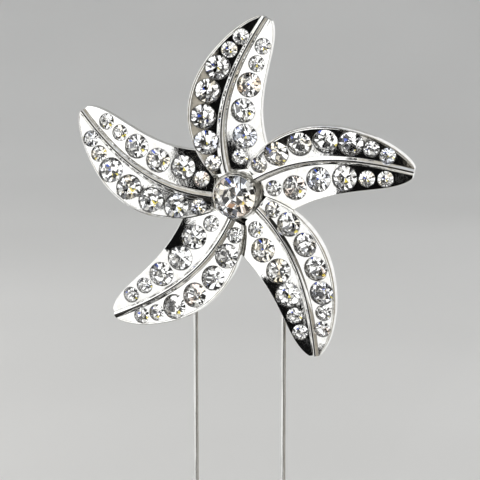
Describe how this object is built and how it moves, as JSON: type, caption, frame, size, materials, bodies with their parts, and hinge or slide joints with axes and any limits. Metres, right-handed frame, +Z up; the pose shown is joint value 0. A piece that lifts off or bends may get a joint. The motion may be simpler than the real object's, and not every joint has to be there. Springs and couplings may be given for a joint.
{
  "type": "jewelled starfish cake pick",
  "caption": "Plated metal starfish with swirled, ribbed arms set with round foiled stones, fixed to two straight wire prongs.",
  "frame": {"origin": "midway between the lower ends of the two prongs, on their centre lines", "axes": "+Z up along the prongs to the star; the star's jewelled front faces -Y; +X to the right seen from the front"},
  "size_m": [0.0647, 0.0073, 0.134],
  "materials": {
    "rhodium_plate": "bright plated casting, polished",
    "foiled_crystal": "clear faceted glass with silver foil behind",
    "steel_wire": "drawn wire, lightly polished"
  },
  "bodies": {
    "root": {"arm_left": "rhodium_plate", "arm_lower_left": "rhodium_plate", "arm_lower_right": "rhodium_plate", "arm_right": "rhodium_plate", "arm_top": "rhodium_plate", "centre_cup": "rhodium_plate", "hub_plate": "rhodium_plate", "prong_left": "steel_wire", "prong_right": "steel_wire", "solder_lug_left_lower": "rhodium_plate", "solder_lug_left_upper": "rhodium_plate", "solder_lug_right_lower": "rhodium_plate", "solder_lug_right_upper": "rhodium_plate", "stone_centre": "foiled_crystal", "stone_left_concave_1": "foiled_crystal", "stone_left_concave_2": "foiled_crystal", "stone_left_concave_3": "foiled_crystal", "stone_left_concave_4": "foiled_crystal", "stone_left_convex_1": "foiled_crystal", "stone_left_convex_2": "foiled_crystal", "stone_left_convex_3": "foiled_crystal", "stone_left_convex_4": "foiled_crystal", "stone_left_convex_5": "foiled_crystal", "stone_lower_left_concave_1": "foiled_crystal", "stone_lower_left_concave_2": "foiled_crystal", "stone_lower_left_concave_3": "foiled_crystal", "stone_lower_left_concave_4": "foiled_crystal", "stone_lower_left_convex_1": "foiled_crystal", "stone_lower_left_convex_2": "foiled_crystal", "stone_lower_left_convex_3": "foiled_crystal", "stone_lower_left_convex_4": "foiled_crystal", "stone_lower_left_convex_5": "foiled_crystal", "stone_lower_right_concave_1": "foiled_crystal", "stone_lower_right_concave_2": "foiled_crystal", "stone_lower_right_concave_3": "foiled_crystal", "stone_lower_right_concave_4": "foiled_crystal", "stone_lower_right_convex_1": "foiled_crystal", "stone_lower_right_convex_2": "foiled_crystal", "stone_lower_right_convex_3": "foiled_crystal", "stone_lower_right_convex_4": "foiled_crystal", "stone_lower_right_convex_5": "foiled_crystal", "stone_right_concave_1": "foiled_crystal", "stone_right_concave_2": "foiled_crystal", "stone_right_concave_3": "foiled_crystal", "stone_right_concave_4": "foiled_crystal", "stone_right_convex_1": "foiled_crystal", "stone_right_convex_2": "foiled_crystal", "stone_right_convex_3": "foiled_crystal", "stone_right_convex_4": "foiled_crystal", "stone_right_convex_5": "foiled_crystal", "stone_top_concave_1": "foiled_crystal", "stone_top_concave_2": "foiled_crystal", "stone_top_concave_3": "foiled_crystal", "stone_top_concave_4": "foiled_crystal", "stone_top_convex_1": "foiled_crystal", "stone_top_convex_2": "foiled_crystal", "stone_top_convex_3": "foiled_crystal", "stone_top_convex_4": "foiled_crystal", "stone_top_convex_5": "foiled_crystal"}
  },
  "joints": []
}
